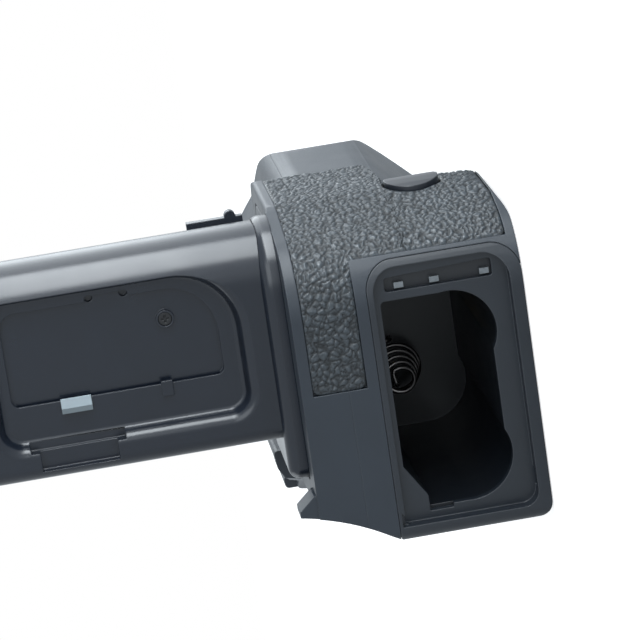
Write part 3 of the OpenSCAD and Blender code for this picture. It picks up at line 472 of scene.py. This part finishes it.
def cover_distance(s, z):
    """Signed distance, along the surface, to the covering's outline with the button's hole."""
    front = round_box(s, z, (PAST_LEFT, -COVER_LOW), (COVER_BESIDE, -BAND), COVER_CORNER_R)
    strip = round_box(s, z, (0.0, -STRIP_LOW), (COVER_END, -BAND), STRIP_CORNER_R)
    hole = BUTTON_HOLE - np.hypot(bulge_point(s, z)[..., 0] - BUTTON_X, z - BUTTON_Z)
    return np.maximum(round_join(front, strip, STRIP_INNER_R), hole)


def cover_slope(s, z):
    """How the signed distance changes along the plan and upwards."""
    along = cover_distance(s + PROBE, z) - cover_distance(s - PROBE, z)
    up = cover_distance(s, z + PROBE) - cover_distance(s, z - PROBE)
    return along / (2 * PROBE), up / (2 * PROBE)


def pebbles(at, size, seed):
    """Cell pattern in space: distance to the second nearest jittered centre less that to the
    nearest."""
    many, far = 64, 9.0
    jitter = np.random.default_rng(seed).random((many, many, many, 3))
    place = at / size
    cell = np.floor(place).astype(int)
    first, second = np.full(place.shape[:-1], far), np.full(place.shape[:-1], far)
    for step in np.ndindex(3, 3, 3):
        near = cell + np.array(step) - 1
        centre = near + jitter[tuple(np.moveaxis(near % many, -1, 0))]
        gap = np.linalg.norm(centre - place, axis=-1)
        first, second = np.minimum(first, gap), np.minimum(second, np.maximum(first, gap))
    return second - first


def ripple(at, size, seed):
    """Slow smooth noise in space from a few crossed waves of about one size."""
    waves, tame = 9, 4.0
    rng = np.random.default_rng(seed)
    heading, shift = rng.normal(size=(waves, 3)), rng.random(waves) * 2 * np.pi
    length = size * (0.7 + 0.6 * rng.random(waves))
    heading *= (2 * np.pi / length / np.linalg.norm(heading, axis=1))[:, None]
    return np.sin(at @ heading.T + shift).sum(-1) / tame


def cover_lattice():
    """Plan distances and heights of the covering's lattice, from its left edge on."""
    share = np.linspace(STEP_FROM, 1, STEP_ROWS)
    even_rows = np.linspace(-COVER_LOW, -BAND, round((COVER_LOW - BAND) / COVER_STEP))
    step_rows = STEP_Z + STEP_R - STEP_R * np.sqrt(1 - (1 - share) ** 2)
    z = np.unique(np.round(np.concatenate([even_rows, step_rows]), 4))[None, :]
    left = np.linspace(1, 0, round(COVER_LEFT_SPAN / COVER_STEP))[:-1, None] * cover_left(z)
    right = np.linspace(0, COVER_END, round(COVER_END / COVER_STEP))[:, None] + 0 * z
    s = np.concatenate([left, right])
    return s, z + 0 * s


def cover_trimmed(s, z):
    """The lattice with its rim points moved onto the outline, and the quads inside it."""
    quads = lattice_faces(*s.shape)
    kept = cover_distance(s, z).ravel()[quads].mean(-1) < 0
    used, dropped = np.zeros(s.size, bool), np.zeros(s.size, bool)
    used[quads[kept].ravel()] = True
    dropped[quads[~kept].ravel()] = True
    rim = (used & dropped).reshape(s.shape)
    for _ in range(RIM_PASSES):
        ds, dz = cover_slope(s, z)
        pull = rim * cover_distance(s, z) / np.maximum(ds**2 + dz**2, RIM_LEAST_SLOPE)
        s, z = (place - np.clip(pull * slope, -COVER_STEP, COVER_STEP)
                for place, slope in ((s, ds), (z, dz)))
    return s, z, quads[kept]


def cover_rise(bare):
    """Relief from 0 in the creases to 1 on the pebbles: small cells break up the large ones."""
    warped = bare + WARP * np.stack([ripple(bare, WARP_SIZE, seed) for seed in WARP_SEEDS], -1)
    large = dome(pebbles(warped, LARGE_PEBBLE, LARGE_SEED) / PEBBLE_FLANK)
    small = dome(pebbles(warped, SMALL_PEBBLE, SMALL_SEED) / PEBBLE_FLANK)
    return large * (LARGE_SHARE + SMALL_SHARE * small)


def rim_wall(faces, count):
    """Quads from a surface's open edges down to its lower copy, whose points come count later."""
    edges = np.stack([faces, np.roll(faces, -1, axis=1)], -1).reshape(-1, 2)
    low, high = np.sort(edges, axis=1).T
    _, place, uses = np.unique(low * count + high, return_index=True, return_counts=True)
    start, stop = edges[place[uses == 1]].T
    return np.stack([stop, start, start + count, stop + count], 1)


def pebbled_covering(material):
    """The grip covering: a lattice over plan distance and height, trimmed to the outline, raised
    by the pebbles along the surface normal, with a wall down its rim."""
    s, z, faces = cover_trimmed(*cover_lattice())
    bare, normal = bulge_point(s, z), bulge_normal(s, z)
    rise = cover_rise(bare)
    inside = np.maximum(np.minimum(-cover_distance(s, z), s - cover_left(z)), 0)
    height = RELIEF * (rise - 1.0) * ease(inside / RELIEF_FADE)
    height = height - RIM_DROP * (1 - ease(inside / RIM_FADE))
    height = height + WAVE * ripple(bare, WAVE_SIZE, WAVE_SEED)
    top = bare + normal * height[..., None]
    foot = bare - normal * (COVER_T - COVER_ROOT)
    points = np.concatenate([top.reshape(-1, 3), foot.reshape(-1, 3)])
    rises = np.concatenate([rise.ravel(), np.zeros(s.size)])
    faces = np.concatenate([faces, rim_wall(faces, s.size)])
    live, faces = np.unique(faces, return_inverse=True)
    piece = mesh_piece("pebbled_covering", points[live], faces.reshape(-1, 4), "grip", material,
                       "grip_leather", "covering")
    shown = piece.data.attributes.new("rise", "FLOAT", "POINT")
    shown.data.foreach_set("value", rises[live].astype(np.float32))


def soft_area(name, place, target, size, radiance, colour=(0.9, 0.96, 1.0)):
    """Rectangular softbox that faces a point; its power follows from its area and radiance."""
    lamp = bpy.data.lights.new(name, "AREA")
    lamp.shape, lamp.size, lamp.size_y = "RECTANGLE", *size
    lamp.energy, lamp.color = radiance * np.pi * size[0] * size[1], colour
    holder = bpy.data.objects.new(name, lamp)
    turn = (Vector(target) - Vector(place)).to_track_quat("-Z", "Y").to_matrix().to_4x4()
    holder.matrix_world = Matrix.Translation(place) @ turn
    bpy.context.scene.collection.objects.link(holder)


def photo_camera():
    """Camera of the photograph: it looks along the grip from its hand end, rolled so that the
    tower points left."""
    side = np.array([np.sqrt(1 - VIEW_SIDE_Y**2 - VIEW_SIDE_Z**2), VIEW_SIDE_Y, VIEW_SIDE_Z])
    right = np.array([0.0, 0.0, -1.0])
    right -= side * (right @ side)
    right /= np.linalg.norm(right)
    up = np.cross(side, right)
    c, s = np.cos(VIEW_ROLL), np.sin(VIEW_ROLL)
    right, up = c * right + s * up, c * up - s * right
    eye = VIEW_TARGET + VIEW_DISTANCE * side
    lens = bpy.data.cameras.new("photo_camera")
    lens.sensor_width, lens.lens, lens.clip_start = SENSOR_MM, LENS_MM, VIEW_CLIP
    holder = bpy.data.objects.new("photo_camera", lens)
    turn = Matrix([[right[k], up[k], side[k]] for k in range(3)]).to_4x4()
    holder.matrix_world = Matrix.Translation(eye) @ turn
    bpy.context.scene.collection.objects.link(holder)
    bpy.context.scene.camera = holder


def pale_floor(height):
    """Plain pale floor that keeps the object's shadow; only the eye gets the added white."""
    f = Finish("pale_floor", Roughness=0.9, Specular_IOR_Level=0.1, Emission_Strength=FLOOR_WHITE)
    mottle = f.noise(scale=6.0, detail=2.0, roughness=0.5)
    eye = f.node("ShaderNodeLightPath", out="Is Camera Ray")
    f.set("Base Color", f.mix(mottle, shade(WHITE, 0.92), shade(WHITE, 0.95)))
    f.set("Emission Color", f.mix(eye, BLACK, WHITE))
    corners = [(x * FLOOR_HALF, y * FLOOR_HALF, height)
               for x, y in ((-1, -1), (1, -1), (1, 1), (-1, 1))]
    mesh = bpy.data.meshes.new("floor")
    mesh.from_pydata(corners, [], [(0, 1, 2, 3)])
    mesh.materials.append(f.material)
    floor = bpy.data.objects.new("floor", mesh)
    bpy.context.scene.collection.objects.link(floor)


def pale_world(ambient, tint):
    """White surround to the eye, tinted in reflections, and tinted and dimmer as diffuse light."""
    world = bpy.data.worlds.new("surround")
    world.use_nodes = True
    bpy.context.scene.world = world
    tree = world.node_tree
    path = tree.nodes.new("ShaderNodeLightPath")
    eye, gloss, clear = (Value(tree, path.outputs[f"Is {kind} Ray"])
                         for kind in ("Camera", "Glossy", "Transmission"))
    back = next(n for n in tree.nodes if n.type == "BACKGROUND")
    blend = tree.nodes.new("ShaderNodeMix")
    blend.data_type = "RGBA"
    for place, item in ((MIX_SHARE, eye), (MIX_FIRST, tint), (MIX_SECOND, WHITE)):
        feed(tree, blend.inputs[place], item)
    feed(tree, back.inputs["Color"], Value(tree, blend.outputs[MIX_RESULT]))
    bright = (eye + gloss + clear).between(0.0, 1.0)
    feed(tree, back.inputs["Strength"], ambient + (1.0 - ambient) * bright)


def finished(node, material, body="grip", width=EDGE_WIDTH):
    """A CAD node's own shape: merged, its flat faces joined, sharp edges rounded by a narrow
    bevel, the rest smooth."""
    shape = bmesh.new()
    shape.from_mesh(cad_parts[node].data)
    bmesh.ops.remove_doubles(shape, verts=shape.verts, dist=MERGE * MM)
    bmesh.ops.dissolve_limit(shape, angle_limit=np.radians(FLAT_ANGLE), verts=shape.verts,
                             edges=shape.edges)
    mesh = bpy.data.meshes.new(f"finished_{node}")
    shape.to_mesh(mesh)
    shape.free()
    mesh.polygons.foreach_set("use_smooth", np.ones(len(mesh.polygons), bool))
    mesh.set_sharp_from_angle(angle=np.radians(SHARP_ANGLE))
    mesh.materials.clear()
    mesh.materials.append(material)
    piece = bpy.data.objects.new(f"finished_{node}", mesh)
    bpy.context.scene.collection.objects.link(piece)
    bevel = piece.modifiers.new("rounded_edges", "BEVEL")
    bevel.width, bevel.segments = width * MM, EDGE_SEGMENTS
    bevel.limit_method, bevel.angle_limit = "ANGLE", np.radians(SHARP_ANGLE)
    even = piece.modifiers.new("even_shading", "WEIGHTED_NORMAL")
    even.mode, even.keep_sharp = "FACE_AREA", False
    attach(piece, body)
    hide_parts(node)


def dress(material, *nodes):
    """Gives CAD nodes a finish."""
    for name in nodes:
        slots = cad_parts[name].data.materials
        slots.clear()
        slots.append(material)


photo_camera()

# Each plastic's second colour is the paler colour of its edges: partly wear, partly a painted
# highlight.
casing = moulded("casing_black", colour=(0.0135, 0.019, 0.027), wear_and_highlight_colour=(0.06, 0.068, 0.08),
                 roughness=0.42, grain=5200.0, relief=0.25)
bezel = moulded("bezel_black", colour=(0.011, 0.0145, 0.02), wear_and_highlight_colour=(0.06, 0.066, 0.076),
                roughness=0.36, grain=4200.0, relief=0.1)
smooth = moulded("inner_black", colour=(0.003, 0.0045, 0.007), wear_and_highlight_colour=(0.03, 0.034, 0.042),
                 roughness=0.38, grain=2600.0, relief=0.08)
tower = moulded("tower_black", colour=(0.006, 0.009, 0.0155), wear_and_highlight_colour=(0.035, 0.04, 0.05),
                roughness=0.25, grain=3600.0, relief=0.02)
button = moulded("button_black", colour=(0.011, 0.0135, 0.019), wear_and_highlight_colour=(0.05, 0.054, 0.062),
                 roughness=0.3, grain=4200.0, relief=0.1)
screw = moulded("screw_black", colour=(0.005, 0.0055, 0.007), wear_and_highlight_colour=(0.03, 0.032, 0.036),
                roughness=0.32, grain=3000.0, relief=0.08)
nylon = moulded("nylon_white", colour=(0.62, 0.61, 0.57), wear_and_highlight_colour=(0.7, 0.69, 0.66),
                roughness=0.45, grain=2400.0, relief=0.08)
steel = bright_metal("bright_steel", colour=(0.6, 0.63, 0.66), roughness=0.28,
                     along=(60.0, 4000.0, 4000.0))
wire = bright_metal("spring_wire", colour=(0.3, 0.285, 0.28), roughness=0.36,
                    along=(2400.0, 2400.0, 2400.0))
catch = bright_metal("catch_plate", colour=(0.21, 0.245, 0.265), roughness=0.34,
                     along=(4000.0, 300.0, 4000.0))
pressed = bright_metal("pressed_plate", colour=(0.55, 0.57, 0.6), roughness=0.38,
                       along=(300.0, 3000.0, 3000.0))
gold = bright_metal("gold_contact", colour=(0.82, 0.6, 0.25), roughness=0.24,
                    along=(4000.0, 4000.0, 80.0))
brass = bright_metal("machined_brass", colour=(0.74, 0.56, 0.26), roughness=0.3,
                     along=(4000.0, 4000.0, 200.0))
latch = latch_strip()
board = circuit_board()
cover = pebbled_cover()

for node in ("upper_shell", "lower_shell", "top_plate"):
    finished(node, casing)
finished("end_bezel", bezel)
for node in ("chamber_liner", "tower_cap"):
    finished(node, smooth)
for node in ("tower_shell", "tower_back", "tower_collar"):
    finished(node, tower)
finished("shutter_button", button, "shutter")
finished("focus_button", button, "focus")
finished("rear_dial", button, "dial", FINE_EDGE_WIDTH)
finished("lock_lever", button, "lever")
finished("attachment_wheel", button, "wheel", FINE_EDGE_WIDTH)
dress(smooth, "shutter_guide", "shutter_switch", "focus_switch", "thumb_bracket")
dress(screw, "tower_screws", "recess_screw", "shell_screws")
dress(nylon, "wheel_pinion")
dress(steel, "camera_stud", "wheel_shaft", "locating_pin", "tripod_socket", "dial_axle")
dress(catch, "door_catch")
dress(latch, "latch_bar")
dress(pressed, "chassis_plate", "chassis_posts")
dress(gold, "tower_contacts", "chamber_contact")
dress(brass, "stud_gear")
dress(board, "tower_board", "control_board", "main_board")

pebbled_covering(cover)
mesh_piece("wound_spring", *tube(spring_path(), WIRE_R, WIRE_SIDES), "grip", wire,
           "contact_spring", "steel")

pale_floor(cad_box[0][2] - FLOOR_GAP)
pale_world(ambient=0.42, tint=(0.88, 0.95, 1.0))
soft_area("top_softbox", place=(0.16, 0.58, 0.03), target=(0.04, 0.02, 0.0),
          size=(0.55, 0.17), radiance=13.0)
soft_area("back_softbox", place=(-0.55, 0.5, 0.0), target=(0.0, 0.03, 0.0),
          size=(0.9, 0.9), radiance=2.5)
soft_area("rear_softbox", place=(-0.1, -0.8, 0.5), target=(0.0, 0.0, 0.0),
          size=(0.7, 0.7), radiance=1.6)
soft_area("fill_softbox", place=(0.75, 0.4, 0.3), target=(0.05, 0.0, 0.0),
          size=(0.6, 0.6), radiance=2.4)

bpy.context.scene.view_settings.view_transform = "Standard"
